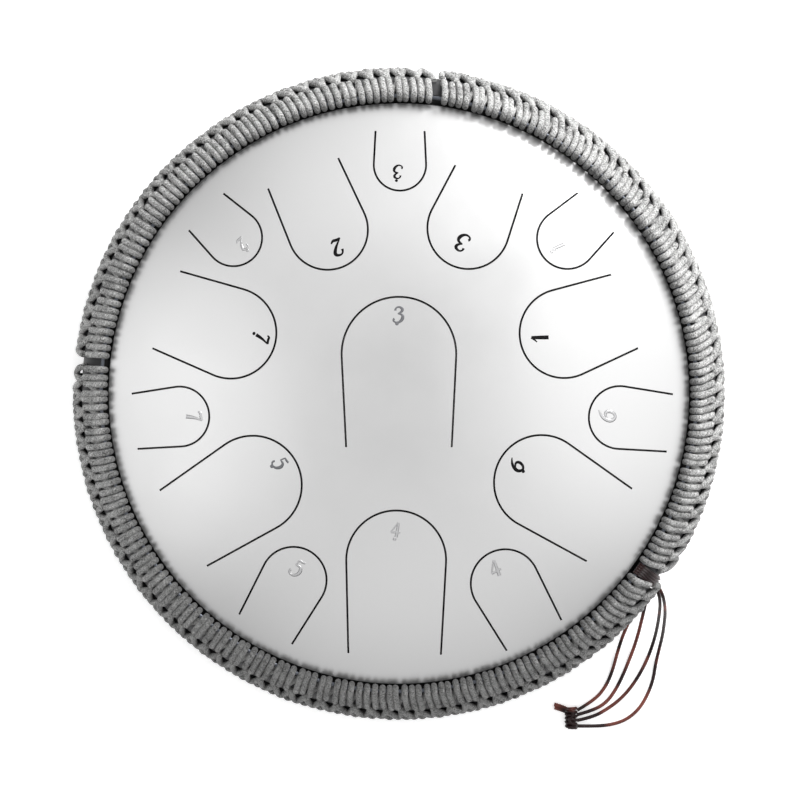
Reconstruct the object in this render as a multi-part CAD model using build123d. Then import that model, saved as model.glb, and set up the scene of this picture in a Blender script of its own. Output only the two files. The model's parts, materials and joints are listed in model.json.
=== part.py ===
"""Steel tongue drum: a pressed steel head and base, a cord-bound rim, rubber feet and a lanyard.

Frame: millimetres, +Z up, origin on the resting plane under the drum's centre.
The drum lies in its playing position, with the tongues facing up and the feet below.
"""
from build123d import *
import math
import os

# ---------------------------------------------------------------- driving dimensions (mm, degrees)
waist_radius = 176.5          # outside of the shells where they meet
crown_height = 48.0           # top of the head above the waist
base_depth = 48.0             # underside of the base below the waist
ground_clearance = 8.0        # under the lowest part of the base
shoulder_radius = 16.5        # outside bend between each dish and the waist
land_height = 3.0             # straight wall on each side of the waist
sheet = 1.8                   # steel thickness of both shells

slot_width = 1.1              # saw cut round each tongue
hinge_gap = 0.1               # cut across a tongue's root, where the steel bends
drawn_face_radius = 160.0     # face radius that the tongue layout below was drawn for

band_thickness = 0.8          # black steel band over the welded waist
band_clearance = 0.1          # between the band and the shells
hoop_wire = 2.0               # diameter of the lacing hoops
hoop_inset = 11.0             # middle of the hoops' wire, inwards from the waist in plan
cord_clearance = 0.3          # between wound cord and whatever it goes round
binding_cord = 4.0            # diameter of the cotton cord bound round the rim
wrap_cord = 2.0               # diameter of the waxed lanyard cord

sound_hole_radius = 45.0
foot_top_radius = 13.0
foot_bottom_radius = 10.5
foot_edge_radius = 1.0
foot_circle_radius = 84.0
foot_web = 6.5                # rubber between the screw head and the base
foot_bearings = {"rear_right": 45, "rear_left": 135, "front_left": 225, "front_right": 315}

screw_radius = 2.5
screw_hole_clearance = 0.2    # round the screw in the rubber, the base and the washer
screw_head_radius = 4.6
screw_head_height = 2.8
recess_clearance = 0.9        # round the screw head in the foot
socket_width = 3.0            # across the flats of the screw's hexagon socket
socket_depth = 1.5
screw_tail = 1.5              # thread that stands past the nut
washer_radius = 7.0
washer_thickness = 1.2
nut_width = 8.0               # across the flats
nut_height = 4.0

# Gaps in the binding: bearing and half width, both in degrees.
binding_gaps = {"rear": (82.7, 0.8), "left": (174.0, 0.8), "lanyard": (323.8, 1.5)}
wrap_half_angle = 1.1         # half width of the lanyard's whipping in its gap

# Tongue layout on a face of drawn_face_radius, lowest note first.
# name: bearing of the root from the tip, tip radius, tip distance, root distance, root half width
tongue_layout = {
    "low_3": (270.0, 31.6, -53.3, 29.6, 29.1),
    "low_4": (269.05, 27.6, 64.6, 144.6, 25.7),
    "low_5": (212.0, 27.1, 68.1, 141.1, 24.7),
    "low_6": (328.0, 26.2, 66.6, 137.7, 23.7),
    "low_7": (160.2, 25.2, 73.5, 137.2, 22.7),
    "mid_1": (20.0, 24.7, 72.5, 133.2, 21.7),
    "mid_2": (113.5, 22.2, 76.5, 133.2, 21.2),
    "mid_3": (67.2, 22.7, 76.5, 128.8, 20.2),
    "mid_4": (299.2, 19.0, 101.5, 154.0, 17.4),
    "mid_5": (240.5, 18.3, 100.2, 150.5, 16.8),
    "mid_6": (353.8, 17.4, 105.8, 151.4, 16.0),
    "mid_7": (186.0, 16.6, 105.6, 147.6, 15.4),
    "high_1": (42.6, 16.8, 109.9, 148.5, 14.8),
    "high_2": (136.7, 15.8, 110.0, 147.1, 14.0),
    "high_3": (89.75, 14.5, 112.3, 145.8, 13.6),
}

# ---------------------------------------------------------------- sizes that follow from these
waist_height = ground_clearance + base_depth
shoulder_centre = (waist_radius - shoulder_radius, land_height)
face_radius = shoulder_centre[0]
layout_scale = face_radius / drawn_face_radius
hoop_radius = waist_radius - hoop_inset
hoop_lift = cord_clearance + binding_cord + hoop_wire / 2    # middle of the wire above the steel
band_lift = band_clearance + band_thickness                  # outside of the band above the steel
wound_lift = band_lift + cord_clearance                      # underside of cord laid over the band
above, below = 1, -1
depths = {above: crown_height, below: base_depth}


def polar(centre, radius, angle):
    """Point at an angle, in degrees, on a circle."""
    turn = math.radians(angle)
    return (centre[0] + radius * math.cos(turn), centre[1] + radius * math.sin(turn))


def dish(depth):
    """Centre and radius of the arc of a dish, tangent to its shoulder."""
    reach, rise = shoulder_centre[0], depth - land_height
    radius = (reach**2 + rise**2 - shoulder_radius**2) / (2 * (rise - shoulder_radius))
    return (0, depth - radius), radius


def bend_angle(depth):
    """Direction, from the shoulder's centre, in which the dish meets the shoulder."""
    centre, _ = dish(depth)
    return math.degrees(math.atan2(shoulder_centre[1] - centre[1], shoulder_centre[0]))


def skin(side, start_radius, lift):
    """A line that runs lift outside a shell's surface, from a plan radius out to the waist.

    A negative lift runs inside the steel. Returns the edges and the line's first point.
    """
    centre, dish_radius = dish(depths[side])
    bend = bend_angle(depths[side])
    shoulder = polar(shoulder_centre, shoulder_radius + lift, bend)
    wall = polar(shoulder_centre, shoulder_radius + lift, 0)
    if start_radius < shoulder[0]:
        first = math.degrees(math.acos(start_radius / (dish_radius + lift)))
        start = polar(centre, dish_radius + lift, first)
        edges = [ThreePointArc(start, polar(centre, dish_radius + lift, (first + bend) / 2), shoulder)]
        turn = bend
    else:
        turn = math.degrees(math.acos((start_radius - shoulder_centre[0]) / (shoulder_radius + lift)))
        start = shoulder = polar(shoulder_centre, shoulder_radius + lift, turn)
        edges = []
    edges.append(ThreePointArc(shoulder, polar(shoulder_centre, shoulder_radius + lift, turn / 2), wall))
    edges.append(Line(wall, (wall[0], 0)))
    if side == below:
        return [mirror(edge, Plane.XZ) for edge in edges], (start[0], -start[1])
    return edges, start


def spun(section, start=0, sweep=360):
    """A section drawn as (radius, height above the waist), turned about the drum's axis."""
    solid = revolve(Plane.XZ * section, Axis.Z, sweep)
    return Pos(0, 0, waist_height) * Rot(0, 0, start) * solid


def pressed_shell(side, hole_radius):
    """A dished shell above or below the waist."""
    outer, outer_start = skin(side, hole_radius, 0)
    inner, inner_start = skin(side, hole_radius, -sheet)
    rim = Line((waist_radius, 0), (waist_radius - sheet, 0))
    return spun(make_face(outer + [rim] + inner + [Line(inner_start, outer_start)]))


def tongue_outline(layout, spread, root_gap):
    """Plan of a tongue, grown by spread on its sides and cut root_gap short of its root line."""
    bearing, tip_radius, tip_distance, root_distance, half_width = layout
    radius = tip_radius * layout_scale + spread
    centre = (tip_distance + tip_radius) * layout_scale
    length = root_distance * layout_scale - centre
    corner = half_width * layout_scale + spread
    direction = math.atan2(corner, length) + math.acos(radius / math.hypot(length, corner))
    tangent = (centre + radius * math.cos(direction), radius * math.sin(direction))
    taper = (corner - tangent[1]) / (length + centre - tangent[0])
    root = (centre + length - root_gap, corner - taper * root_gap)
    mirrored = [(x, -y) for x, y in (root, tangent)]
    edges = [
        Line(root, tangent),
        ThreePointArc(tangent, (centre - radius, 0), mirrored[1]),
        Line(mirrored[1], mirrored[0]),
        Line(mirrored[0], root),
    ]
    return Rot(0, 0, bearing) * make_face(edges)


def upright(outline):
    """A plan outline extruded through the whole head."""
    return extrude(Pos(0, 0, waist_height) * outline, crown_height * 1.5)


def wall_section(starts, inner_lift, outer_lift):
    """A wall round the waist, from one shell's start radius to the other's."""
    edges = []
    for side in (above, below):
        inside, inside_start = skin(side, starts[side], inner_lift)
        outside, outside_start = skin(side, starts[side], outer_lift)
        edges += inside + outside + [Line(inside_start, outside_start)]
    return make_face(edges)


def hoop_centre(side):
    """Middle of a hoop's wire in section."""
    return skin(side, hoop_radius, hoop_lift)[1]


def wound_section(cord):
    """Section through cord that is wound round both hoops and laid over the band between them."""
    section = wall_section({above: hoop_radius, below: hoop_radius}, wound_lift, wound_lift + cord)
    for side in (above, below):
        x, y = hoop_centre(side)
        foot = skin(side, hoop_radius, wound_lift + cord / 2)[1]
        section += Pos(x + cord / 2, (y + foot[1]) / 2) * Rectangle(cord, abs(y - foot[1]))
        section += Pos(x, y) * Circle(hoop_wire / 2 + cord_clearance / 2 + cord)
        section -= Pos(x, y) * Circle(hoop_wire / 2 + cord_clearance / 2)
    return section


def lacing_hoop(side):
    """Steel wire ring that the binding is hitched round."""
    radius, height = hoop_centre(side)
    return Pos(0, 0, waist_height + height) * Torus(radius, hoop_wire / 2)


def band_start(side):
    """Plan radius where the band ends, clear of the cord wound round the hoop."""
    x, y = hoop_centre(side)
    reach = math.hypot(x - shoulder_centre[0], abs(y) - shoulder_centre[1])
    angle = math.degrees(math.atan2(abs(y) - shoulder_centre[1], x - shoulder_centre[0]))
    clear = hoop_wire / 2 + cord_clearance + binding_cord + cord_clearance
    edge = shoulder_radius + band_lift
    spread = math.degrees(math.acos((reach**2 + edge**2 - clear**2) / (2 * reach * edge)))
    end = min(angle - spread, bend_angle(depths[side]))
    return polar(shoulder_centre, edge, end)[0]


def rim_band():
    """Black band over the weld."""
    starts = {side: band_start(side) for side in (above, below)}
    return spun(wall_section(starts, band_clearance, band_lift))


def binding_lengths():
    """The three lengths of cord binding, each from one gap to the next."""
    section = wound_section(binding_cord)
    gaps = list(binding_gaps.values())
    names = ["left_rear", "front", "right"]
    for index, name in enumerate(names):
        bearing, half = gaps[index]
        next_bearing, next_half = gaps[(index + 1) % len(gaps)]
        sweep = (next_bearing - bearing) % 360 - half - next_half
        yield f"cord_binding_{name}", spun(section, bearing + half, sweep)


def rod(radius, low, high):
    """Upright cylinder between two heights."""
    return Pos(0, 0, low) * Cylinder(radius, high - low, align=(Align.CENTER, Align.CENTER, Align.MIN))


# Each foot and its fixings are drawn upright, from the base's outer face at height 0, and then leaned
# so that they stand square to the dished base.
base_centre, base_radius = dish(base_depth)
foot_lean = math.degrees(math.asin(foot_circle_radius / base_radius))
foot_reach = ground_clearance + base_radius * (1 - math.cos(math.radians(foot_lean)))
foot_length = (foot_reach + foot_bottom_radius) / math.cos(math.radians(foot_lean))
inner_radius = base_radius - sheet
washer_bottom = sheet + inner_radius - math.sqrt(inner_radius**2 - washer_radius**2)
washer_top = washer_bottom + washer_thickness
nut_top = washer_top + nut_height


def foot_places():
    """Each foot's name and its place on the base."""
    sphere_centre = Pos(0, 0, waist_height - base_centre[1])
    for name, bearing in foot_bearings.items():
        yield name, sphere_centre * Rot(0, 0, bearing) * Rot(0, -foot_lean, 0) * Pos(0, 0, -base_radius)


def rubber_foot(place, base):
    """Tapered foot, shaped to the base above and to the resting plane below."""
    top = Pos(0, 0, sheet / 2) * Circle(foot_top_radius)
    body = place * loft([Pos(0, 0, -foot_length) * Circle(foot_bottom_radius), top])
    room = rod(waist_radius, 0, waist_height)
    body = (body & room) - base
    body = fillet(body.edges().group_by(Axis.Z)[0], foot_edge_radius)
    body -= place * rod(screw_head_radius + recess_clearance, -foot_length, -foot_web)
    return body - place * rod(screw_radius + screw_hole_clearance, -foot_length, nut_top)


def foot_screw():
    """Pan-head screw with a hexagon socket, head down."""
    head_bottom = -foot_web - screw_head_height
    head = rod(screw_head_radius, head_bottom, -foot_web)
    head = fillet(head.edges().group_by(Axis.Z)[0], screw_head_height / 2)
    socket = extrude(Pos(0, 0, head_bottom) * RegularPolygon(socket_width / 2, 6, False), socket_depth)
    return head - socket + rod(screw_radius, -foot_web, nut_top + screw_tail)


def foot_washer():
    """Plain washer that rests on the base's curved inner face by its edge."""
    ring = rod(washer_radius, washer_bottom, washer_top)
    return ring - rod(screw_radius + screw_hole_clearance, washer_bottom, washer_top)


def foot_nut():
    """Hexagon nut on the washer, bored to the screw's outer radius."""
    hexagon = Pos(0, 0, washer_top) * RegularPolygon(nut_width / 2, 6, False)
    return extrude(hexagon, nut_height) - rod(screw_radius, washer_top, nut_top)


# ---------------------------------------------------------------- lanyard
# Each strand leaves the whipping, drops off the rim and lies on the resting plane up to the knot.
knot_centre = (98.1, -184.8)
knot_radius = 3.9
knot_length = 13.6
knot_edge_radius = 2.4
tail_radius = 1.6
tail_points = [(98.1, -181.6, 3.4), (93.6, -179.6, 2.6), (88.7, -177.9, 1.8)]
lying = wrap_cord / 2 + 0.1   # height of a strand's centre on the resting plane

strand_routes = {
    "a": [
        (143.9, -105.6, 50.4), (147.6, -111.4, 49.4), (149.4, -117.6, 43.0), (150.3, -123.6, 33.0),
        (150.3, -129.8, 22.6), (149.8, -137.3, 12.0), (148.4, -144.8, 4.0), (146.4, -153.7, lying),
        (145.0, -163.1, lying), (141.6, -172.1, lying), (136.8, -180.0, lying),
        (129.6, -186.0, lying), (121.1, -188.8, lying), (111.4, -189.6, 1.8), (101.6, -189.3, 3.9),
    ],
    "b": [
        (143.1, -106.7, 46.6), (146.1, -112.0, 45.2), (147.2, -118.2, 38.4), (147.2, -124.3, 28.6),
        (146.8, -130.4, 18.8), (145.8, -137.5, 9.6), (143.9, -145.0, 3.0), (141.0, -152.8, lying),
        (136.7, -160.9, lying), (131.7, -168.3, lying), (125.6, -174.8, lying),
        (118.3, -180.1, lying), (110.4, -184.4, 1.8), (101.6, -186.1, 3.9),
    ],
    "c": [
        (137.8, -99.0, 36.2), (140.4, -103.4, 30.8), (140.9, -110.2, 25.6), (139.9, -118.0, 20.0),
        (138.4, -126.2, 14.0), (136.6, -135.0, 7.6), (134.2, -144.0, 2.8), (131.0, -152.6, lying),
        (127.5, -161.0, lying), (123.5, -169.0, lying), (118.2, -176.2, lying),
        (110.6, -180.6, 1.8), (101.6, -182.9, 3.9),
    ],
    "d": [
        (135.9, -101.7, 36.2), (137.4, -106.6, 30.6), (136.6, -113.2, 25.0), (134.1, -120.8, 19.4),
        (130.6, -129.4, 13.4), (127.0, -138.6, 7.0), (124.3, -148.1, 2.4), (121.9, -157.6, lying),
        (118.0, -167.0, lying), (111.4, -174.8, 1.8), (101.6, -180.3, 3.9),
    ],
}


def corner_radii(points):
    """The largest arc that each corner's two runs leave room for."""
    corners = [Vector(*point) for point in points]
    radii = []
    for before, here, after in zip(corners, corners[1:], corners[2:]):
        turn = math.radians((here - before).get_angle(after - here))
        shorter = min((here - before).length, (after - here).length)
        radii.append(0.45 * shorter / math.tan(turn / 2))
    return radii


def corded(points, radius):
    """Round cord along straight runs joined by tangent arcs."""
    path = FilletPolyline(*points, radius=corner_radii(points))
    tube = sweep(Plane(origin=path @ 0, z_dir=path % 0) * Circle(radius), path=path)
    return tube, path.length


def knot():
    """Knot that gathers the four strands, with the cut ends in a short tail."""
    barrel = Rot(90, 0, 0) * Cylinder(knot_radius, knot_length)
    barrel = fillet(barrel.edges().filter_by(GeomType.CIRCLE), knot_edge_radius)
    tail, _ = corded(tail_points, tail_radius)
    return Pos(*knot_centre, knot_radius) * barrel + tail


def lanyard(whipping):
    """The four strands, trimmed where they meet the whipping and the knot."""
    tie = knot()
    yield "lanyard_knot", tie
    for name, points in strand_routes.items():
        tube, length = corded(points, wrap_cord / 2)
        section_area = math.pi * (wrap_cord / 2)**2
        print(f"strand {name}: length {length:.1f}, volume / (section x length) "
              f"{tube.volume / (section_area * length):.4f}, "
              f"radii {[round(radius, 1) for radius in corner_radii(points)]}")
        yield f"lanyard_strand_{name}", tube - whipping - tie


# ---------------------------------------------------------------- assembly
def drum():
    """Every node's name and solid."""
    head = pressed_shell(above, 0)
    openings = [upright(tongue_outline(layout, slot_width / 2, 0)) for layout in tongue_layout.values()]
    yield "head_shell", head - openings
    for name, layout in tongue_layout.items():
        yield f"tongue_{name}", head & upright(tongue_outline(layout, -slot_width / 2, hinge_gap))

    base = pressed_shell(below, sound_hole_radius)
    places = dict(foot_places())
    screw_hole = rod(screw_radius + screw_hole_clearance, -foot_length, nut_top)
    base -= [place * screw_hole for place in places.values()]
    yield "base_shell", base
    for name, place in places.items():
        yield f"rubber_foot_{name}", rubber_foot(place, base)
    for name, piece in (("screws", foot_screw()), ("washers", foot_washer()), ("nuts", foot_nut())):
        yield f"foot_{name}", Compound([place * piece for place in places.values()])

    yield "rim_band", rim_band()
    yield "front_hoop", lacing_hoop(above)
    yield "back_hoop", lacing_hoop(below)
    yield from binding_lengths()
    whipping = spun(wound_section(wrap_cord), binding_gaps["lanyard"][0] - wrap_half_angle, 2 * wrap_half_angle)
    yield "lanyard_whipping", whipping
    yield from lanyard(whipping)


os.makedirs("parts", exist_ok=True)
for node, solid in drum():
    export_step(solid, f"parts/{node}.step")
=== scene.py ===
"""Looks for the steel tongue drum: satin steel head, hitched cotton cord, waxed lanyard."""

import json
import math
import random

import bmesh
import bpy
from mathutils import Matrix, Vector


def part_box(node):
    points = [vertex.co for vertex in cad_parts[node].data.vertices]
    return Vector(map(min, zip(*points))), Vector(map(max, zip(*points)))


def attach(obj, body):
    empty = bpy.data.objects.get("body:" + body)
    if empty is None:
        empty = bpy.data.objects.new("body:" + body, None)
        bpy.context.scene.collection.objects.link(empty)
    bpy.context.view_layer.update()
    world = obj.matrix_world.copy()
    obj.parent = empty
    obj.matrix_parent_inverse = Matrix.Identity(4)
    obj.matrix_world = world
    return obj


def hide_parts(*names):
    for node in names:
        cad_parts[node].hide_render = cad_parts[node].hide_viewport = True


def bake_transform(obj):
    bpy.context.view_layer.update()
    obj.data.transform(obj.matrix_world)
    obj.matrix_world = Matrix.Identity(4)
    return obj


bl_info = {
    "name": "Steel tongue drum",
    "version": (1, 0, 0),
    "blender": (4, 5, 0),
    "location": "View3D > Sidebar > Tongue Drum",
    "description": "Models and finishes a cord-bound steel tongue drum round its CAD frame",
    "category": "Add Mesh",
}

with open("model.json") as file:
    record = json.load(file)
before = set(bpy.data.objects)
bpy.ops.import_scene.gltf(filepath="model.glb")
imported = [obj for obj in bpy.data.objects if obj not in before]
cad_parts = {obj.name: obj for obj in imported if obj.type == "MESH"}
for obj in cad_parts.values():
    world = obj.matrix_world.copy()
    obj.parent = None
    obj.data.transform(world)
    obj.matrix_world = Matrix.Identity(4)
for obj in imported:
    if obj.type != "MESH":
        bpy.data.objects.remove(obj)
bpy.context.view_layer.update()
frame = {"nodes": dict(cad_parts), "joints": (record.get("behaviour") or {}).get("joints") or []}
MM = 0.001
DRUM = "drum"


# ---------------------------------------------------------------- sizes and colours
def to_linear(hex_colour):
    """An sRGB hex colour as linear red, green and blue."""
    def channel(start):
        value = int(hex_colour[start:start + 2], 16) / 255
        return value / 12.92 if value <= 0.04045 else ((value + 0.055) / 1.055) ** 2.4
    return tuple(channel(start) for start in (0, 2, 4))


def length(name, description, millimetres):
    """A length property, with its default given in millimetres."""
    return bpy.props.FloatProperty(name=name, description=description, default=millimetres * MM, min=0,
                                   unit="LENGTH", subtype="DISTANCE")


def colour(name, description, hex_colour):
    """A colour property, with its default given as sRGB hex."""
    return bpy.props.FloatVectorProperty(name=name, description=description, default=to_linear(hex_colour),
                                         size=3, min=0, max=1, subtype="COLOR")


class DrumSizes(bpy.types.PropertyGroup):
    """Sizes that the frame does not hold."""
    sheet: length("Sheet", "Thickness of the steel", 1.8)
    slot: length("Slot", "Width of the laser cut round a tongue", 1.1)
    shoulder: length("Shoulder", "Outside bend between the dish and the waist", 16.5)
    land: length("Land", "Straight wall on each side of the waist", 3.0)
    cell: length("Cell", "Largest face of the head's mesh", 5.0)
    numeral: length("Numeral", "Height of an engraved number", 9.5)
    cord: length("Cotton cord", "Width of the cord bound round the rim", 3.6)
    cord_lay: length("Cord lay", "Length in which the cord's three strands make one turn", 8.0)
    hitch: length("Hitch", "Length of hoop taken up by two turns and their arch", 8.4)
    waxed: length("Waxed cord", "Width of the lanyard's cord", 2.0)
    seizing: length("Seizing twine", "Width of the twine that whips the lanyard to the rim", 1.3)
    view_width: length("View width", "Width of the camera's view at the waist", 448.0)
    view_distance: length("View distance", "Camera above the waist", 3000.0)


class DrumColours(bpy.types.PropertyGroup):
    """Colours of the drum's finishes."""
    steel: colour("Steel", "Satin stainless steel", "D0D0D0")
    mark: colour("Mark", "Dark engraved number", "070708")
    half_mark: colour("Half mark", "Number engraved less deep", "6E6F72")
    faint_mark: colour("Faint mark", "Number that catches the light", "BEBEBF")
    cut: colour("Cut edge", "Dark oxide on laser-cut edges", "0A0A0B")
    inside: colour("Inside", "Mill finish inside the drum", "3C3D3F")
    band: colour("Band", "Powder coat under the cord", "242426")
    wire: colour("Wire", "Drawn wire", "55585E")
    cotton: colour("Cotton", "Undyed grey cotton cord", "A2A2A1")
    waxed: colour("Waxed cord", "Dark red-brown waxed cord", "1E090A")
    # paler wax colour, for rubbed places and for painted highlights
    worn_and_highlight: colour("Worn wax", "Waxed cord where it has rubbed", "7C4238")
    rubber: colour("Rubber", "Moulded rubber feet", "19191A")
    zinc: colour("Zinc", "Plated screws, washers and nuts", "BFC3C7")
    floor: colour("Floor", "Pale floor", "F7F7F7")


def sizes():
    return bpy.context.scene.drum_sizes


def colours():
    return bpy.context.scene.drum_colours


# ---------------------------------------------------------------- materials
def add_node(material, kind, inputs=None, **settings):
    """Adds a node with its settings, and sets or links its inputs."""
    node = material.node_tree.nodes.new(kind)
    for name, value in settings.items():
        setattr(node, name, value)
    for name, value in (inputs or {}).items():
        if isinstance(value, bpy.types.NodeSocket):
            material.node_tree.links.new(value, node.inputs[name])
        else:
            node.inputs[name].default_value = value
    return node


def finish(name, base, **inputs):
    """A material with one Principled shader. Returns the material and the shader."""
    material = bpy.data.materials.new(name)
    material.use_nodes = True
    material.node_tree.nodes.clear()
    shader = add_node(material, "ShaderNodeBsdfPrincipled", inputs | {"Base Color": (*base, 1)})
    output = add_node(material, "ShaderNodeOutputMaterial")
    material.node_tree.links.new(shader.outputs["BSDF"], output.inputs["Surface"])
    return material, shader


def link(material, socket, shader, name):
    """Drives one of the shader's inputs."""
    material.node_tree.links.new(socket, shader.inputs[name])


def grain(material, coordinates, size, detail=2.0):
    """Noise whose lumps are about size metres across."""
    return add_node(material, "ShaderNodeTexNoise", {
        "Vector": coordinates, "Scale": 1 / size, "Detail": detail, "Roughness": 0.55})


def ramp(material, factor, low, high, low_at=0.0, high_at=1.0):
    """A linear map of a factor's range onto low to high."""
    node = add_node(material, "ShaderNodeMapRange", {
        "Value": factor, "From Min": low_at, "From Max": high_at, "To Min": low, "To Max": high})
    return node.outputs["Result"]


def two_tone(material, factor, dark, light):
    """A colour between two, by a factor. Each is a colour or a socket."""
    node = add_node(material, "ShaderNodeMix", {"Factor": factor}, data_type="RGBA")
    for socket, tone in ((node.inputs[6], dark), (node.inputs[7], light)):
        if isinstance(tone, bpy.types.NodeSocket):
            material.node_tree.links.new(tone, socket)
        else:
            socket.default_value = (*tone, 1)
    return node.outputs[2]


def from_axis(material, place):
    """Distance of a place from the drum's upright axis."""
    flat = add_node(material, "ShaderNodeVectorMath", {0: place, 1: (1, 1, 0)}, operation="MULTIPLY")
    reach = add_node(material, "ShaderNodeVectorMath", {0: flat.outputs[0]}, operation="LENGTH")
    return reach.outputs["Value"]


def combined(material, operation, *values):
    """A number from one or two others, by a Math node's operation."""
    return add_node(material, "ShaderNodeMath", dict(enumerate(values)), operation=operation).outputs[0]


def shade(rgb, amount):
    """A colour made lighter or darker."""
    return tuple(min(1, value * amount) for value in rgb)


def bump(material, height, distance, strength=1.0):
    """A normal from a height pattern of the given depth."""
    return add_node(material, "ShaderNodeBump", {
        "Height": height, "Distance": distance, "Strength": strength}).outputs["Normal"]


def satin_steel():
    """Stainless sheet, bead-blasted: wide soft highlights, a faint cloudiness and a painted shadow under the
    cord.
    """
    steel = tuple(colours().steel)
    material, shader = finish("bead_blasted_stainless", steel, Metallic=1.0, Roughness=0.36)
    place = add_node(material, "ShaderNodeTexCoord").outputs["Object"]
    clouds = grain(material, place, 45 * MM, 3.0).outputs["Fac"]
    beads = grain(material, place, 0.7 * MM, 1.0).outputs["Fac"]     # bead pits are 0.2 mm, drawn coarser
    satin = two_tone(material, ramp(material, clouds, 0, 1, 0.3, 0.7), shade(steel, 0.97), steel)
    # painted shadow: the steel is near black from the cord's inner edge outward, for the shade where the cord
    # meets the face
    painted_contact_shadow = ramp(material, from_axis(material, place), 0, 1, 161.2 * MM, 161.6 * MM)
    link(material, two_tone(material, painted_contact_shadow, satin, shade(steel, 0.02)), shader, "Base Color")
    link(material, ramp(material, clouds, 0.34, 0.39, 0.3, 0.7), shader, "Roughness")
    link(material, bump(material, beads, 0.01 * MM, 0.35), shader, "Normal")
    return material


def oxidised(name, rgb, roughness, metallic):
    """Steel with a thin oxide, from a laser or the mill: a fine burnt grain."""
    material, shader = finish(name, rgb, Metallic=metallic, Roughness=roughness)
    if not metallic:
        shader.inputs["Specular IOR Level"].default_value = 0.12
    place = add_node(material, "ShaderNodeTexCoord").outputs["Object"]
    burn = grain(material, place, 0.5 * MM).outputs["Fac"]
    link(material, two_tone(material, burn, shade(rgb, 0.75), shade(rgb, 1.2)), shader, "Base Color")
    return material


def powder_coat():
    """Black powder coat on steel: matt, with a fine orange-peel texture."""
    base = tuple(colours().band)
    material, shader = finish("powder_coated_steel", base, Roughness=0.55)
    place = add_node(material, "ShaderNodeTexCoord").outputs["Object"]
    peel = grain(material, place, 0.9 * MM).outputs["Fac"]
    link(material, two_tone(material, peel, shade(base, 0.7), shade(base, 1.4)), shader, "Base Color")
    link(material, bump(material, peel, 0.05 * MM, 0.5), shader, "Normal")
    return material


def plated(name, rgb, roughness):
    """Bright metal with faint drawing or plating marks."""
    material, shader = finish(name, rgb, Metallic=1.0, Roughness=roughness)
    place = add_node(material, "ShaderNodeTexCoord").outputs["Object"]
    marks = grain(material, place, 1.2 * MM, 4.0).outputs["Fac"]
    link(material, ramp(material, marks, roughness * 0.8, roughness * 1.3, 0.3, 0.7), shader, "Roughness")
    link(material, bump(material, marks, 0.01 * MM, 0.4), shader, "Normal")
    return material


def lay_pattern(material, strands, yarns):
    """Rounded strands across a laid cord, and finer yarns that run along it."""
    place = add_node(material, "ShaderNodeTexCoord")
    split = add_node(material, "ShaderNodeSeparateXYZ", {"Vector": place.outputs["UV"]})
    along, round_it = split.outputs["X"], split.outputs["Y"]
    turned = combined(material, "ADD", along, round_it)
    wave = combined(material, "SINE", combined(material, "MULTIPLY", turned, strands * math.pi))
    wander = grain(material, place.outputs["Object"], 2.2 * MM).outputs["Fac"]
    drift = combined(material, "ADD", round_it, wander)
    yarn = combined(material, "SINE", combined(material, "MULTIPLY", drift, yarns * math.tau))
    return combined(material, "ABSOLUTE", wave), ramp(material, yarn, 0, 1, -1, 1), place.outputs["Object"]


def cotton(name, base):
    """Twisted cotton cord: matt and fibrous, flecked, with soft grooves between strands and a fuzz, and
    painted shade in the grooves, at its inner edge and towards -Y.
    """
    material, shader = finish(name, base, Roughness=0.95)
    shader.inputs["Sheen Weight"].default_value = 0.15
    shader.inputs["Sheen Roughness"].default_value = 0.5
    strand_lift_and_groove_shade, yarn, place = lay_pattern(material, 3, 12)      # real yarns are half as wide
    fibre = grain(material, place, 0.8 * MM, 3.0).outputs["Fac"]     # fibres are 0.02 mm, drawn coarser
    dirt = grain(material, place, 9 * MM, 2.0).outputs["Fac"]
    fleck = ramp(material, fibre, 0, 0.75, 0.36, 0.64)
    # painted shade and highlight: grooves between strands and yarns are painted darker, their crowns lighter
    tone = combined(material, "ADD", fleck, combined(material, "MULTIPLY", strand_lift_and_groove_shade, 0.16))
    tone = combined(material, "ADD", tone, combined(material, "MULTIPLY", yarn, 0.14))
    tone = combined(material, "ADD", tone, ramp(material, dirt, -0.22, 0.12, 0.3, 0.7))
    # painted shade: the cord is painted darker towards its inner edge, where it meets the face
    painted_edge_shade = ramp(material, from_axis(material, place), 0.12, 1, 162 * MM, 168 * MM)
    # painted shade: the cord is painted darker towards -Y, the side away from the light
    up = add_node(material, "ShaderNodeSeparateXYZ", {"Vector": place}).outputs["Y"]
    painted_shade = combined(material, "MULTIPLY", painted_edge_shade, ramp(material, up, 0.5, 1, -165 * MM, -20 * MM))
    tone = combined(material, "MULTIPLY", tone, painted_shade)
    link(material, two_tone(material, tone, shade(base, 0.1), shade(base, 2.1)), shader, "Base Color")
    lift = combined(material, "ADD", strand_lift_and_groove_shade, combined(material, "ADD", fleck, yarn))
    link(material, bump(material, lift, 0.3 * MM, 0.8), shader, "Normal")
    return material


def waxed_cord(name, highlight_and_wear_share):
    """Waxed polyester cord: near-black red-brown with a low wax sheen, paler in patches that stand for rubbed
    wax and for painted highlights.
    """
    base, rubbed_and_lit = tuple(colours().waxed), tuple(colours().worn_and_highlight)
    material, shader = finish(name, base, Roughness=0.4)
    shader.inputs["Specular IOR Level"].default_value = 0.3
    place = add_node(material, "ShaderNodeTexCoord").outputs["Object"]
    braid = add_node(material, "ShaderNodeTexVoronoi", {"Vector": place, "Scale": 1 / (0.8 * MM)})
    wear_and_highlight_noise = grain(material, place, 14 * MM, 1.0).outputs["Fac"]
    # painted highlight and wear: paler patches of the cord's colour, placed by noise
    worn_and_highlight = ramp(material, wear_and_highlight_noise, 0, highlight_and_wear_share, 0.45, 0.65)
    link(material, two_tone(material, worn_and_highlight, base, rubbed_and_lit), shader, "Base Color")
    link(material, bump(material, braid.outputs["Distance"], 0.12 * MM, 0.6), shader, "Normal")
    return material


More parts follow.
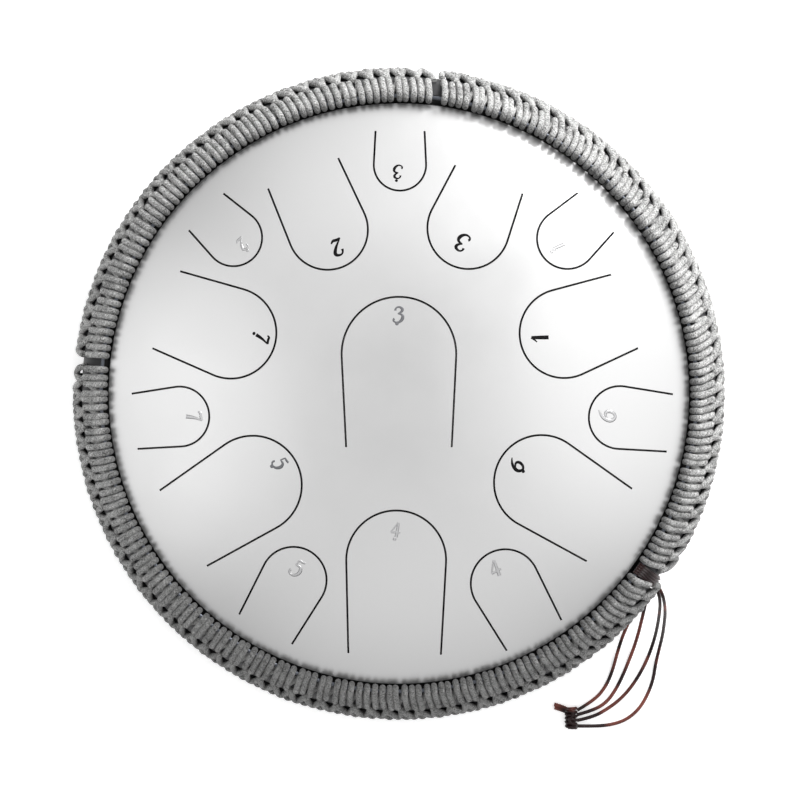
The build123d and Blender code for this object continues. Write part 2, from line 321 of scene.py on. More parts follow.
def moulded_rubber():
    """Moulded rubber: near black, matt, with a faint bloom."""
    base = tuple(colours().rubber)
    material, shader = finish("moulded_rubber", base, Roughness=0.7)
    place = add_node(material, "ShaderNodeTexCoord").outputs["Object"]
    bloom = grain(material, place, 6 * MM, 3.0).outputs["Fac"]
    skin = grain(material, place, 0.6 * MM).outputs["Fac"]
    link(material, two_tone(material, bloom, shade(base, 0.8), shade(base, 1.7)), shader, "Base Color")
    link(material, bump(material, skin, 0.03 * MM, 0.5), shader, "Normal")
    return material


# ---------------------------------------------------------------- the drum's measured shape
class Shell:
    """The head's outer surface: a dish that is tangent to a round shoulder above the waist."""

    def __init__(self):
        low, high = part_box("head_shell")
        crown = max(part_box(joint["child"])[1][2] for joint in frame["joints"])
        self.waist_height = low[2]
        self.waist = high[0]
        self.bend = sizes().shoulder
        self.land = sizes().land
        self.bend_at = self.waist - self.bend
        rise = crown - low[2] - self.land
        self.radius = (self.bend_at**2 + rise**2 - self.bend**2) / (2 * (rise - self.bend))
        self.centre = crown - self.radius
        self.bend_height = self.waist_height + self.land
        self.bend_angle = math.atan2(self.bend_height - self.centre, self.bend_at)

    def height(self, plan_radius, lift=0.0):
        """Height of the dish at a plan radius."""
        return self.centre + math.sqrt((self.radius + lift)**2 - plan_radius**2)

    def round_shoulder(self, angle, lift=0.0):
        """Plan radius and height on the shoulder, angle up from the horizontal."""
        reach = self.bend + lift
        return self.bend_at + reach * math.cos(angle), self.bend_height + reach * math.sin(angle)

    def normal(self, point):
        """Outward direction of the surface at a point on it."""
        flat = Vector((point.x, point.y, 0))
        plan_radius = flat.length
        if plan_radius <= self.bend_at + self.bend * math.cos(self.bend_angle):
            return (point - Vector((0, 0, self.centre))).normalized()
        outward = flat / plan_radius
        if point.z < self.bend_height:
            return outward
        from_bend = outward * (plan_radius - self.bend_at) + Vector((0, 0, point.z - self.bend_height))
        return from_bend.normalized()


class Tongue:
    """A tongue's plan, read from its joint and its CAD node."""

    def __init__(self, joint):
        self.body = joint["child"]
        self.root = Vector(joint["pos_m"])
        across = Vector(joint["axis"])
        self.outward = Vector((across.y, -across.x, 0))
        self.turn = Matrix.Rotation(math.atan2(self.outward.y, self.outward.x), 4, "Z")
        corners = [vertex.co for vertex in frame["nodes"][self.body].data.vertices]
        self.root_at = self.root.dot(self.outward)
        cut = sizes().slot / 2
        self.tip = min(point.dot(self.outward) for point in corners) - cut
        self.radius = max(abs(point.dot(across)) for point in corners) + cut
        near_root = [point for point in corners if point.dot(self.outward) > self.root_at - 0.3 * MM]
        self.half_width = max(abs(point.dot(across)) for point in near_root) + cut
        self.centre = self.tip + self.radius

    def draw(self, mesh, spread):
        """Adds the outline in plan, grown by spread, to a bmesh. Returns its edges."""
        radius = self.radius + spread
        corner = self.half_width + spread
        reach = self.root_at - self.centre
        start = math.atan2(corner, reach) + math.acos(radius / math.hypot(reach, corner))
        known = set(mesh.edges)
        first = mesh.verts.new((self.centre + radius * math.cos(start), radius * math.sin(start), 0))
        arc = bmesh.ops.spin(mesh, geom=[first], cent=(self.centre, 0, 0), axis=(0, 0, 1),
                             angle=2 * (math.pi - start), steps=56)
        last = next(item for item in arc["geom_last"] if isinstance(item, bmesh.types.BMVert))
        upper = mesh.verts.new((self.root_at, corner, 0))
        lower = mesh.verts.new((self.root_at, -corner, 0))
        for pair in ((upper, first), (last, lower), (lower, upper)):
            mesh.edges.new(pair)
        edges = [edge for edge in mesh.edges if edge not in known]
        corners = {vertex for edge in edges for vertex in edge.verts}
        bmesh.ops.transform(mesh, matrix=self.turn, verts=list(corners))
        return edges


def cut_in_cells(mesh, cell):
    """Cuts a flat mesh along a square grid, so that it can follow the dish."""
    for axis in (Vector((1, 0, 0)), Vector((0, 1, 0))):
        places = [vertex.co.dot(axis) for vertex in mesh.verts]
        for step in range(math.ceil(min(places) / cell), math.floor(max(places) / cell) + 1):
            bmesh.ops.bisect_plane(mesh, geom=mesh.verts[:] + mesh.edges[:] + mesh.faces[:], dist=1e-7,
                                   plane_co=axis * step * cell, plane_no=axis)


def dished_plate(mesh, shell, edges, sheet, skirt=False):
    """Fills a plan outline, lays it on the dish and gives it the sheet's thickness."""
    bmesh.ops.triangle_fill(mesh, use_beauty=True, edges=edges)
    kind = mesh.faces.layers.int.new("skin")
    cut_in_cells(mesh, sizes().cell)
    for face in mesh.faces:
        face.normal_update()
        if face.normal.z < 0:
            face.normal_flip()
    for vertex in mesh.verts:
        vertex.co.z = shell.height(math.hypot(vertex.co.x, vertex.co.y))
    if skirt:
        add_skirt(mesh, shell)
    outer = mesh.faces[:]
    inner = bmesh.ops.extrude_face_region(mesh, geom=outer, use_keep_orig=True)["geom"]
    for face in mesh.faces:
        face[kind] = 0
    for face in outer:
        face[kind] = 1
    for item in inner:
        if isinstance(item, bmesh.types.BMFace):
            item[kind] = 2
        elif isinstance(item, bmesh.types.BMVert):
            item.co -= shell.normal(item.co) * sheet
    bmesh.ops.recalc_face_normals(mesh, faces=mesh.faces)


def add_skirt(mesh, shell):
    """Carries the plate's outer edge over the shoulder and down to the waist."""
    rim = max(math.hypot(vertex.co.x, vertex.co.y) for vertex in mesh.verts)
    loop = [edge for edge in mesh.edges if edge.is_boundary
            and all(math.hypot(*vertex.co.xy) > rim - 0.05 * MM for vertex in edge.verts)]
    bends = 12
    stations = [(shell.bend_at + shell.bend * math.cos(shell.bend_angle) - 2 * MM, None)]
    stations += [shell.round_shoulder(shell.bend_angle * (1 - step / bends)) for step in range(bends + 1)]
    stations.append((shell.waist, shell.waist_height))
    for plan_radius, height in stations:
        grown = bmesh.ops.extrude_edge_only(mesh, edges=loop)["geom"]
        loop = [item for item in grown if isinstance(item, bmesh.types.BMEdge)]
        for vertex in (item for item in grown if isinstance(item, bmesh.types.BMVert)):
            vertex.co.xy = vertex.co.xy.normalized() * plan_radius
            vertex.co.z = shell.height(plan_radius) if height is None else height


def plate_object(name, mesh, shell, materials):
    """Makes the piece, with normals taken from the dish so that it has no facets."""
    data = bpy.data.meshes.new(name)
    kind = mesh.faces.layers.int["skin"]
    skins = [face[kind] for face in mesh.faces]
    mesh.to_mesh(data)
    mesh.free()
    normals = []
    for polygon, skin in zip(data.polygons, skins):
        for vertex in polygon.vertices:
            if skin == 0:
                normals.append(polygon.normal)
            else:
                outward = shell.normal(data.vertices[vertex].co)
                normals.append(outward if skin == 1 else -outward)
    data.shade_smooth()
    data.normals_split_custom_set(normals)
    for material in materials:
        data.materials.append(material)
    data.polygons.foreach_set("material_index", [(1, 0, 2)[skin] for skin in skins])
    return place(name, data)


# ---------------------------------------------------------------- shared making
def place(name, data):
    """A new object at the origin, in the scene."""
    piece = bpy.data.objects.new(name, data)
    bpy.context.scene.collection.objects.link(piece)
    return piece


def dress(node, material):
    """Gives a CAD node its finish."""
    for slot in frame["nodes"][node].material_slots:
        slot.material = material


def as_mesh(temporary, name, material):
    """A mesh piece made from a temporary curve or text object, which is removed."""
    graph = bpy.context.evaluated_depsgraph_get()
    data = bpy.data.meshes.new_from_object(temporary.evaluated_get(graph))
    source = temporary.data
    bpy.data.objects.remove(temporary)
    bpy.data.curves.remove(source)
    data.name = name
    data.materials.clear()
    data.materials.append(material)
    return place(name, data)


def add_spline(data, points, radii=None):
    """Adds a smooth open line to a curve, with the points as its control points."""
    spline = data.splines.new("NURBS")
    spline.points.add(len(points) - 1)
    for target, point, radius in zip(spline.points, points, radii or [1.0] * len(points)):
        target.co = (*point, 1)
        target.radius = radius
    # set after the points, or the line has straight runs
    spline.order_u = 3
    spline.use_endpoint_u = True


def smooth_line(name, points, detail):
    """A temporary curve object along the points, with no thickness."""
    data = bpy.data.curves.new(name, "CURVE")
    data.dimensions = "3D"
    data.resolution_u = detail
    add_spline(data, points)
    return place(name, data)


def laid_cord(name, points, width, lay, material, detail, corners=10):
    """Cord along a smooth line. Its UV map counts turns of the lay along it and one turn round it."""
    line = smooth_line(name, points, detail)
    line.data.bevel_depth = width / 2
    line.data.bevel_resolution = (corners - 4) // 2
    line.data.use_fill_caps = True
    piece = as_mesh(line, name, material)
    travelled = sum(math.dist(before, after) for before, after in zip(points, points[1:]))
    for corner in piece.data.uv_layers[0].uv:
        corner.vector.x *= travelled / lay
    piece.data.shade_smooth()
    return piece


def around(bearing, plan_radius, height):
    return Vector((plan_radius * math.cos(bearing), plan_radius * math.sin(bearing), height))


# ---------------------------------------------------------------- head and tongues
NUMERALS = {
    # tongue: digit, octave dot below (-1), none (0) or above (1), depth of the mark,
    # and its place: to the right of the tongue's middle and in from its tip, in mm
    "tongue_low_3": ("3", -1, "half", -0.4, 9.8), "tongue_low_4": ("4", -1, "faint", -0.4, 10.8),
    "tongue_low_5": ("5", -1, "half", -2.4, 7.8), "tongue_low_6": ("6", -1, "dark", 0.6, 9.4),
    "tongue_low_7": ("7", -1, "dark", -3.4, 8.0), "tongue_mid_1": ("1", 0, "dark", 1.8, 11.4),
    "tongue_mid_2": ("2", 0, "dark", -1.2, 11.2), "tongue_mid_3": ("3", 0, "dark", -0.2, 13.8),
    "tongue_mid_4": ("4", 0, "faint", -0.8, 9.2), "tongue_mid_5": ("5", 0, "faint", -1.6, 11.6),
    "tongue_mid_6": ("6", 0, "faint", 0.0, 10.0), "tongue_mid_7": ("7", 0, "faint", 0.8, 8.8),
    "tongue_high_1": ("1", 1, "faint", -0.4, 10.2), "tongue_high_2": ("2", 1, "faint", -1.0, 10.0),
    "tongue_high_3": ("3", 1, "dark", 1.0, 10.4),
}
NUMERAL_SCALE = {-1: 0.89, 0: 1.0, 1: 0.77}

# Pen strokes of italic digits one unit high: across, up and half the stroke's width.
DIGITS = {
    "1": [[(-0.13, 0.26, 0.02), (0.06, 0.35, 0.035), (0.24, 0.49, 0.05)],
          [(0.23, 0.48, 0.06), (0.06, 0.00, 0.085), (-0.10, -0.47, 0.08)]],
    "2": [[(-0.20, 0.20, 0.055), (-0.20, 0.40, 0.035), (0.04, 0.52, 0.04), (0.33, 0.36, 0.08),
           (0.14, 0.02, 0.06), (-0.12, -0.24, 0.035), (-0.33, -0.45, 0.03)],
          [(-0.33, -0.45, 0.035), (-0.10, -0.38, 0.065), (0.14, -0.47, 0.055), (0.27, -0.30, 0.03)]],
    "3": [[(-0.18, 0.26, 0.055), (-0.18, 0.42, 0.035), (0.06, 0.53, 0.04), (0.32, 0.36, 0.075),
           (0.18, 0.12, 0.045), (-0.02, 0.06, 0.03)],
          [(-0.02, 0.06, 0.03), (0.28, 0.04, 0.05), (0.32, -0.26, 0.08), (0.06, -0.53, 0.05),
           (-0.24, -0.50, 0.035), (-0.34, -0.34, 0.045), (-0.25, -0.26, 0.05)]],
    "4": [[(0.15, 0.50, 0.03), (-0.10, 0.14, 0.035), (-0.33, -0.15, 0.03)],
          [(-0.33, -0.16, 0.04), (0.00, -0.15, 0.05), (0.30, -0.17, 0.035)],
          [(0.17, 0.46, 0.045), (0.10, 0.00, 0.065), (0.02, -0.48, 0.07)]],
    "5": [[(0.30, 0.47, 0.045), (0.12, 0.41, 0.06), (-0.06, 0.46, 0.03)],
          [(-0.06, 0.46, 0.035), (-0.10, 0.30, 0.03), (-0.13, 0.12, 0.03)],
          [(-0.13, 0.12, 0.03), (0.14, 0.18, 0.05), (0.30, -0.08, 0.08), (0.18, -0.42, 0.06),
           (-0.12, -0.54, 0.04), (-0.34, -0.40, 0.04), (-0.27, -0.24, 0.05)]],
    "6": [[(0.30, 0.51, 0.02), (0.02, 0.38, 0.05), (-0.22, 0.04, 0.08), (-0.26, -0.32, 0.08),
           (0.00, -0.55, 0.05), (0.26, -0.36, 0.06), (0.30, 0.00, 0.07), (0.08, 0.16, 0.05),
           (-0.14, -0.04, 0.03)]],
    "7": [[(-0.24, 0.28, 0.035), (-0.20, 0.45, 0.05), (0.02, 0.40, 0.06), (0.27, 0.48, 0.045)],
          [(0.27, 0.48, 0.035), (0.13, 0.18, 0.045), (0.02, -0.12, 0.07), (-0.05, -0.44, 0.08)]],
}


def head(shell, tongues, materials):
    """The head with its slots, from the crown to the waist."""
    mesh = bmesh.new()
    rim = shell.bend_at - 0.5 * MM      # just inside the shoulder, where the skirt starts
    edges = bmesh.ops.create_circle(mesh, radius=rim, segments=240)["verts"]
    edges = list({edge for vertex in edges for edge in vertex.link_edges})
    for tongue in tongues:
        edges += tongue.draw(mesh, sizes().slot / 2)
    dished_plate(mesh, shell, edges, sizes().sheet, skirt=True)
    piece = plate_object("head_plate", mesh, shell, materials)
    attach(piece, DRUM)
    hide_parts("head_shell")


def tongue_plate(shell, tongue, materials):
    """One tongue's plate, laid on the dish."""
    mesh = bmesh.new()
    edges = tongue.draw(mesh, -sizes().slot / 2)
    dished_plate(mesh, shell, edges, sizes().sheet)
    piece = plate_object(tongue.body + "_plate", mesh, shell, materials)
    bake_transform(piece)
    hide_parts(tongue.body)


def numeral(shell, tongue, materials):
    """The engraved number near a tongue's tip, upright towards the tip, with its octave dot."""
    digit, octave, depth, across, inset = NUMERALS[tongue.body]
    boldness, relief = 1.45, 0.07       # relief is the mark's height as a share of its width
    strokes = list(DIGITS[digit])
    if octave:
        side, height = (0.12, 0.66) if octave > 0 else (-0.08, -0.60)
        strokes.append([(side, height + 0.10, 0.03), (side, height, 0.13), (side, height - 0.10, 0.03)])
    data = bpy.data.curves.new("numeral", "CURVE")
    data.dimensions = "3D"
    data.resolution_u = 5
    data.bevel_depth = 1.0
    data.bevel_resolution = 1
    data.use_fill_caps = True
    for stroke in strokes:
        add_spline(data, [(right, up, 0) for right, up, _ in stroke],
                   [boldness * half for _, _, half in stroke])
    piece = as_mesh(place("numeral", data), tongue.body + "_numeral", materials[depth])
    size = sizes().numeral * NUMERAL_SCALE[octave]
    upright = (tongue.turn @ Matrix.Translation((tongue.tip + inset * MM, across * MM, 0))
               @ Matrix.Rotation(math.pi / 2, 4, "Z") @ Matrix.Diagonal((size, size, relief * size, 1)))
    piece.data.transform(upright)
    for vertex in piece.data.vertices:
        vertex.co.z += shell.height(math.hypot(vertex.co.x, vertex.co.y), 0.02 * MM)
    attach(piece, tongue.body)


# ---------------------------------------------------------------- cotton binding
class Rim:
    """Places on the rim, by bearing, for cord that runs between the two hoops."""

    def __init__(self, shell):
        self.shell = shell
        low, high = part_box("front_hoop")
        self.wire = (high[2] - low[2]) / 2
        self.hoop = high[0] - self.wire
        self.hoop_rise = (low[2] + high[2]) / 2 - shell.waist_height

    def at_hoop(self, bearing, side, angle, reach):
        """A point round the hoop's wire: angle 0 is outwards, 90 degrees is away from the waist."""
        turn = math.radians(angle)
        height = self.hoop_rise + reach * math.sin(turn)
        return around(bearing, self.hoop + reach * math.cos(turn), self.shell.waist_height + side * height)

    def on_wall(self, bearing, side, angle, lift):
        """A point over the shoulder, or just past the waist where the angle is negative."""
        turn = math.radians(angle)
        land_ends = 12      # degrees, where the straight wall gives way to the shoulder's bend
        centre = self.shell.land * max(-1, min(1, angle / land_ends))
        reach = self.shell.bend + lift
        height = self.shell.waist_height + side * (centre + reach * math.sin(turn))
        return around(bearing, self.shell.bend_at + reach * math.cos(turn), height)


def bead_route(rim, side, pitch, cord, bearing, lean, wild):
    """Control points of two turns round the hoop, whose outer ends lie on the shoulder."""
    wrap = rim.wire + cord / 2 - 0.5 * MM
    round_hoop = (-50, -110, -170, 130, 75, 28)
    # past the turn's end, in degrees; lift off the steel, in mm; share of the lean
    outer_end = ((16, 2.9, 0.2), (3, 2.9, 0.4), (-4, 1.7, 0.5), (6, 0.5, 0.4))
    points = []
    for offset in (-0.25, 0.25):
        middle = bearing + (offset + 0.07 * wild()) * pitch
        end = 37 + 3 * wild()
        points += [rim.at_hoop(middle, side, angle, wrap + 0.35 * MM * wild()) for angle in round_hoop]
        points += [rim.on_wall(middle + lean * share * pitch, side, end + more, lift * MM)
                   for more, lift, share in outer_end]
    return points


def arch_route(rim, side, pitch, bearing, lean, wild):
    """Control points of one arch, out from the turns to the waist and back."""
    half = 0.42 + 0.05 * wild()
    # angle over the shoulder; place along the arch, in pitches; lift off the steel, in mm
    stations = ((32, -0.5, 1.6), (19, -half, 2.9), (7, -0.28, 3.4), (-5 + 4 * wild(), 0, 5.2), (7, 0.28, 3.1),
                (19, half, 2.0))
    turns_end = 36      # degrees, where the arch comes out from under the turns
    points = []
    for angle, aside, lift in stations:
        aside += lean * (1 - angle / turns_end) + 0.05 * wild()
        points.append(rim.on_wall(bearing + aside * pitch, side, angle, (lift + 0.25 * wild()) * MM))
    return points


def binding(rim, node, start, end, material, core, seed):
    """Two rows of binding, each of turns round a hoop and arches at the waist, over a dark line: a dark cord
    that is painted shade in the holes between the loops.
    """
    cord = sizes().cord
    count = round((end - start) * rim.hoop / sizes().hitch)
    pitch = (end - start) / count
    pieces = []
    for side, row in ((1, "upper"), (-1, "lower")):
        draw = random.Random(seed * 10 + side)

        def wild():
            return draw.uniform(-1, 1)

        turns, arches = [], []
        for index in range(count):
            bearing = start + (index + 0.5) * pitch
            lean = 0.35 + 0.4 * math.cos(bearing - 0.3) + 0.15 * math.sin(7 * bearing)
            turns += bead_route(rim, side, pitch, cord, bearing, lean, wild)
            if 0 < index < count - 1 or side > 0:
                arches += arch_route(rim, side, pitch, bearing + (0 if side > 0 else pitch / 2), lean, wild)
        pieces.append(laid_cord(f"{node}_{row}_turns", turns, cord, sizes().cord_lay, material, 3))
        pieces.append(laid_cord(f"{node}_{row}_arches", arches, cord, sizes().cord_lay, material, 4))
    # painted shade: a dark cord round the waist, under the loops, fills the holes between them
    line = [around(start + (end - start) * (0.01 + 0.98 * share / (2 * count)), rim.shell.waist + 1.5 * MM,
                   rim.shell.waist_height) for share in range(2 * count + 1)]
    pieces.append(laid_cord(node + "_core_line", line, 3 * MM, sizes().cord_lay, core, 2))
    for piece in pieces:
        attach(piece, DRUM)
    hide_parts(node)


def node_arc(node):
    """First and last bearing of a CAD node that follows the rim, counterclockwise."""
    bearings = sorted(math.atan2(vertex.co.y, vertex.co.x) for vertex in frame["nodes"][node].data.vertices)
    gaps = [(after - before, after, before) for before, after in zip(bearings, bearings[1:])]
    gaps.append((bearings[0] + math.tau - bearings[-1], bearings[0], bearings[-1]))
    _, start, end = max(gaps)
    return start, end if end > start else end + math.tau


# ---------------------------------------------------------------- lanyard
WAXED_LAY = 4 * MM      # length in which the waxed cord's strands make one turn

# Each strand's route from the whipping to the knot, in metres.
STRANDS = {
    "a": [
        (0.1439, -0.1056, 0.0504), (0.1476, -0.1114, 0.0494), (0.1494, -0.1176, 0.0430),
        (0.1503, -0.1236, 0.0330), (0.1503, -0.1298, 0.0226), (0.1498, -0.1373, 0.0120),
        (0.1484, -0.1448, 0.0040), (0.1464, -0.1537, 0.0011), (0.1450, -0.1631, 0.0011),
        (0.1416, -0.1721, 0.0011), (0.1368, -0.1800, 0.0011), (0.1296, -0.1860, 0.0011),
        (0.1211, -0.1888, 0.0011), (0.1114, -0.1896, 0.0018), (0.1016, -0.1893, 0.0039),
    ],
    "b": [
        (0.1431, -0.1067, 0.0466), (0.1461, -0.1120, 0.0452), (0.1472, -0.1182, 0.0384),
        (0.1472, -0.1243, 0.0286), (0.1468, -0.1304, 0.0188), (0.1458, -0.1375, 0.0096),
        (0.1439, -0.1450, 0.0030), (0.1410, -0.1528, 0.0011), (0.1367, -0.1609, 0.0011),
        (0.1317, -0.1683, 0.0011), (0.1256, -0.1748, 0.0011), (0.1183, -0.1801, 0.0011),
        (0.1104, -0.1844, 0.0018), (0.1016, -0.1861, 0.0039),
    ],
    "c": [
        (0.1378, -0.0990, 0.0362), (0.1404, -0.1034, 0.0308), (0.1409, -0.1102, 0.0256),
        (0.1399, -0.1180, 0.0200), (0.1384, -0.1262, 0.0140), (0.1366, -0.1350, 0.0076),
        (0.1342, -0.1440, 0.0028), (0.1310, -0.1526, 0.0011), (0.1275, -0.1610, 0.0011),
        (0.1235, -0.1690, 0.0011), (0.1182, -0.1762, 0.0011), (0.1106, -0.1806, 0.0018),
        (0.1016, -0.1829, 0.0039),
    ],
    "d": [
        (0.1359, -0.1017, 0.0362), (0.1374, -0.1066, 0.0306), (0.1366, -0.1132, 0.0250),
        (0.1341, -0.1208, 0.0194), (0.1306, -0.1294, 0.0134), (0.1270, -0.1386, 0.0070),
        (0.1243, -0.1481, 0.0024), (0.1219, -0.1576, 0.0011), (0.1180, -0.1670, 0.0011),
        (0.1114, -0.1748, 0.0018), (0.1016, -0.1803, 0.0039),
    ],
}


def strand(name, points, material):
    """One free strand of the lanyard. Returns its tube and the smooth line that it follows."""
    detail = 8
    route = smooth_line("route", points, detail)
    line = bpy.data.meshes.new_from_object(route.evaluated_get(bpy.context.evaluated_depsgraph_get()))
    path = [vertex.co.copy() for vertex in line.vertices]
    bpy.data.meshes.remove(line)
    bpy.data.curves.remove(route.data)
    piece = laid_cord(f"lanyard_strand_{name}_cord", points, sizes().waxed, WAXED_LAY, material, detail)
    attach(piece, DRUM)
    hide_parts(f"lanyard_strand_{name}")
    return piece, path


def knot(material):
    """Barrel knot: cord wound round the four strands, with its two cut ends side by side."""
    cord = sizes().waxed
    middle = Vector((98.1, -184.8, 3.9)) * MM

    def route(*offsets):
        return [middle + Vector(offset) * MM for offset in offsets]

    turns, steps, half_length = 5, 10, 5.6
    coil = []
    for index in range(turns * steps + 1):
        share = index / (turns * steps)
        angle = math.tau * index / steps
        swell = 2.7 + 0.3 * math.sin(math.pi * share)
        coil += route((swell * math.cos(angle), half_length * (2 * share - 1), swell * math.sin(angle)))
    lines = (
        # name, route, width, detail and corners
        ("turns", coil, cord, 4, 10),
        ("lock", route((2.6, -5.4, 0.4), (2.8, -4.2, 2.4), (0.2, -3.0, 3.4), (-1.6, -0.6, 3.2),
                       (0.8, 1.4, 3.5), (1.0, 3.8, 3.2), (-1.4, 4.9, 2.2), (-2.6, 4.4, 0.2)),
         cord * 0.85, 6, 10),
        ("core", route((0.2, -6.2, 0), (0.4, -2, 0.2), (0.2, 2, 0.2), (0, 6.2, 0)), 4.2 * MM, 4, 16),
        ("end_a", route((0.5, 3.6, -0.2), (-3.0, 5.4, -0.9), (-5.6, 6.5, -1.5), (-9.6, 7.7, -2.0)),
         cord * 1.15, 6, 10),
        ("end_b", route((0.3, 2.2, -0.6), (-3.2, 3.8, -1.4), (-6.2, 4.9, -1.9), (-9.4, 5.9, -2.3)),
         cord * 1.15, 6, 10),
    )
    pieces = [laid_cord("lanyard_knot_" + name, line, width, WAXED_LAY, material, detail, corners)
              for name, line, width, detail, corners in lines]
    for piece in pieces:
        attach(piece, DRUM)
    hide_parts("lanyard_knot")
    return pieces


def whipping(rim, material):
    """Twine wound tight over the rim, from hoop to hoop and back."""
    twine = sizes().seizing
    start, end = node_arc("lanyard_whipping")
    passes = 9
    clear = 1.2 * MM        # the band and the twine's give
    wrap = rim.wire + twine / 2 + 0.3 * MM
    step = (end - start) / passes
    points = []
    for index in range(passes):
        bearing = start + (index + 0.5) * step
        side = 1 if index % 2 == 0 else -1
        lift = clear + twine * (0.5 + 0.6 * (index % 2))        # every second pass lies over the first
        points += [rim.at_hoop(bearing, side, angle, wrap) for angle in (-60, -120, 170, 110, 50)]
        points += [rim.on_wall(bearing, side, angle, lift) for angle in (58, 40, 20, 4)]
        points += [rim.on_wall(bearing, -side, angle, lift) for angle in (4, 20, 40, 58)]
    piece = laid_cord("lanyard_whipping_turns", points, twine, WAXED_LAY, material, 4)
    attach(piece, DRUM)
    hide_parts("lanyard_whipping")


# ---------------------------------------------------------------- operators
class DRUM_OT_stage(bpy.types.Operator):
    """Set up the pale floor, the soft lights and the camera above the head"""
    bl_idname = "drum.stage"
    bl_label = "Stage"

    def execute(self, context):
        scene = context.scene
        scene.view_settings.view_transform = "Standard"
        waist = Shell().waist_height
        half_floor = 4.0
        mesh = bmesh.new()
        bmesh.ops.create_grid(mesh, x_segments=8, y_segments=8, size=half_floor)
        data = bpy.data.meshes.new("floor")
        mesh.to_mesh(data)
        mesh.free()
        floor = place("floor", data)
        material, shader = finish("pale_floor", tuple(colours().floor), Roughness=0.5)
        shader.inputs["Emission Color"].default_value = (1, 1, 1, 1)
        spot = add_node(material, "ShaderNodeTexCoord").outputs["Object"]
        # painted light: the floor glows to lift the drum's shadow round it, fading to none under the drum
        link(material, ramp(material, from_axis(material, spot), 0, 0.5, 165 * MM, 190 * MM), shader,
             "Emission Strength")
        data.materials.append(material)

        camera_data = bpy.data.cameras.new("camera")
        camera_data.lens = camera_data.sensor_width * sizes().view_distance / sizes().view_width
        camera_data.clip_end = 20
        camera = place("camera", camera_data)
        camera.location = (0.6 * MM, -3.6 * MM, waist + sizes().view_distance)     # just off the axis
        scene.camera = camera

        world = bpy.data.worlds.new("studio")
        world.use_nodes = True
        background = world.node_tree.nodes["Background"]
        background.inputs["Color"].default_value = (1, 1, 1, 1)
        background.inputs["Strength"].default_value = 0.3
        scene.world = world
        panels = {
            # name: place, aim, width in metres, power in watts
            "ceiling": ((0, 0, 4.6), (0, 0, 0), 9.0, 100.0),
            "left": ((-1.85, -0.10, 2.25), (0, 0, 0), 2.4, 13.0),
            "right": ((1.88, 0.15, 2.15), (0, 0, 0), 2.8, 18.0),
            "rear": ((-0.10, 1.80, 2.25), (0, 0, 0), 2.2, 7.5),
            "front": ((0.2, -1.80, 2.35), (0, 0, 0), 2.4, 5.0),
            "key": ((0.60, 0.75, 0.50), (0.10, 0.10, 0.06), 0.4, 13.0),
        }
        for name, (spot, aim, width, power) in panels.items():
            light_data = bpy.data.lights.new("panel_" + name, "AREA")
            light_data.shape = "DISK"
            light_data.size = width
            light_data.energy = power
            light = place("panel_" + name, light_data)
            light.location = spot
            light.rotation_euler = (Vector(spot) - Vector(aim)).to_track_quat("Z", "Y").to_euler()
        return {"FINISHED"}


class DRUM_OT_lanyard(bpy.types.Operator):
    """Model the lanyard: whipping on the rim, four free strands and their knot"""
    bl_idname = "drum.lanyard"
    bl_label = "Lanyard"

    def execute(self, context):
        # the free strands and knot get many painted highlights, the whipping few
        material = waxed_cord("waxed_cord", 0.9)
        whipping(Rim(Shell()), waxed_cord("waxed_twine", 0.06))
        tie = knot(material)
        for name, points in STRANDS.items():
            piece, path = strand(name, points, material)
        return {"FINISHED"}


class DRUM_OT_head(bpy.types.Operator):
    """Model the dished steel head, its tongues and their engraved numbers"""
    bl_idname = "drum.head"
    bl_label = "Head and tongues"

    def execute(self, context):
        shell = Shell()
        steel = satin_steel()
        # outside, laser-cut edges and inside
        plate = (steel, oxidised("laser_cut_edge", tuple(colours().cut), 0.7, 0.0),
                 oxidised("mill_finish_inside", tuple(colours().inside), 0.6, 1.0))
        marks = {
            "dark": oxidised("laser_marked_steel", tuple(colours().mark), 0.55, 0.0),
            "half": oxidised("half_marked_steel", tuple(colours().half_mark), 0.5, 0.5),
            "faint": oxidised("lightly_marked_steel", tuple(colours().faint_mark), 0.45, 1.0),
        }
        tongues = [Tongue(joint) for joint in frame["joints"]]
        head(shell, tongues, plate)
        for tongue in tongues:
            tongue_plate(shell, tongue, plate)
            numeral(shell, tongue, marks)
        dress("base_shell", steel)
        return {"FINISHED"}


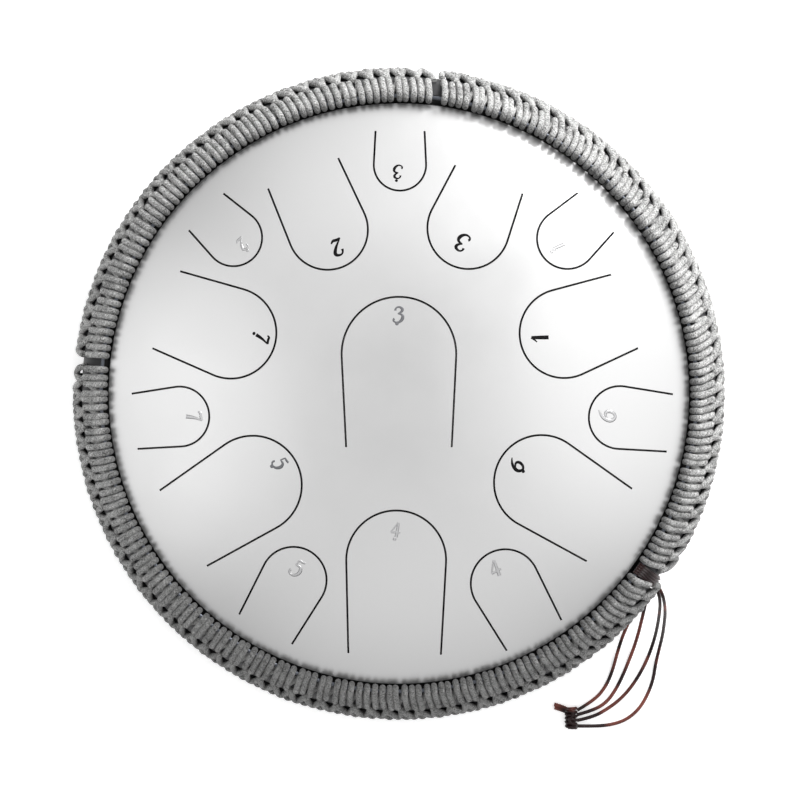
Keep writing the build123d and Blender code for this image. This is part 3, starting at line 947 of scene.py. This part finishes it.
class DRUM_OT_rim(bpy.types.Operator):
    """Finish the rim band and hoops, and bind the rim with cotton cord"""
    bl_idname = "drum.rim"
    bl_label = "Rim and binding"

    def execute(self, context):
        dress("rim_band", powder_coat())
        wire = plated("drawn_stainless_wire", tuple(colours().wire), 0.35)
        dress("front_hoop", wire)
        dress("back_hoop", wire)
        rim = Rim(Shell())
        material = cotton("twisted_cotton", colours().cotton)
        # painted shade: dark cord for the holes between the binding's loops
        core = cotton("painted_shadow_core_line", colours().band)
        for seed, name in enumerate(("left_rear", "front", "right"), 1):
            node = "cord_binding_" + name
            binding(rim, node, *node_arc(node), material, core, seed)
        return {"FINISHED"}


class DRUM_OT_feet(bpy.types.Operator):
    """Finish the rubber feet and their screws, washers and nuts"""
    bl_idname = "drum.feet"
    bl_label = "Feet"

    def execute(self, context):
        rubber = moulded_rubber()
        zinc = plated("zinc_plate", tuple(colours().zinc), 0.3)
        for node in frame["nodes"]:
            if node.startswith("rubber_foot"):
                dress(node, rubber)
            elif node.startswith("foot_"):
                dress(node, zinc)
        return {"FINISHED"}


STEPS = (DRUM_OT_stage, DRUM_OT_lanyard, DRUM_OT_head, DRUM_OT_rim, DRUM_OT_feet)


class DRUM_PT_panel(bpy.types.Panel):
    """Sizes, colours and making steps of the drum"""
    bl_idname = "DRUM_PT_panel"
    bl_label = "Tongue Drum"
    bl_space_type = "VIEW_3D"
    bl_region_type = "UI"
    bl_category = "Tongue Drum"

    def draw(self, context):
        for group in (context.scene.drum_sizes, context.scene.drum_colours):
            box = self.layout.box()
            for name in group.__annotations__:
                box.prop(group, name)
        for step in STEPS:
            self.layout.operator(step.bl_idname)


CLASSES = (DrumSizes, DrumColours, *STEPS, DRUM_PT_panel)


def register():
    for item in CLASSES:
        bpy.utils.register_class(item)
    bpy.types.Scene.drum_sizes = bpy.props.PointerProperty(type=DrumSizes)
    bpy.types.Scene.drum_colours = bpy.props.PointerProperty(type=DrumColours)


def unregister():
    del bpy.types.Scene.drum_sizes
    del bpy.types.Scene.drum_colours
    for item in reversed(CLASSES):
        bpy.utils.unregister_class(item)


def main():
    register()
    bpy.ops.drum.stage()
    bpy.ops.drum.lanyard()
    bpy.ops.drum.head()
    bpy.ops.drum.rim()
    bpy.ops.drum.feet()


if __name__ == "__main__":
    main()
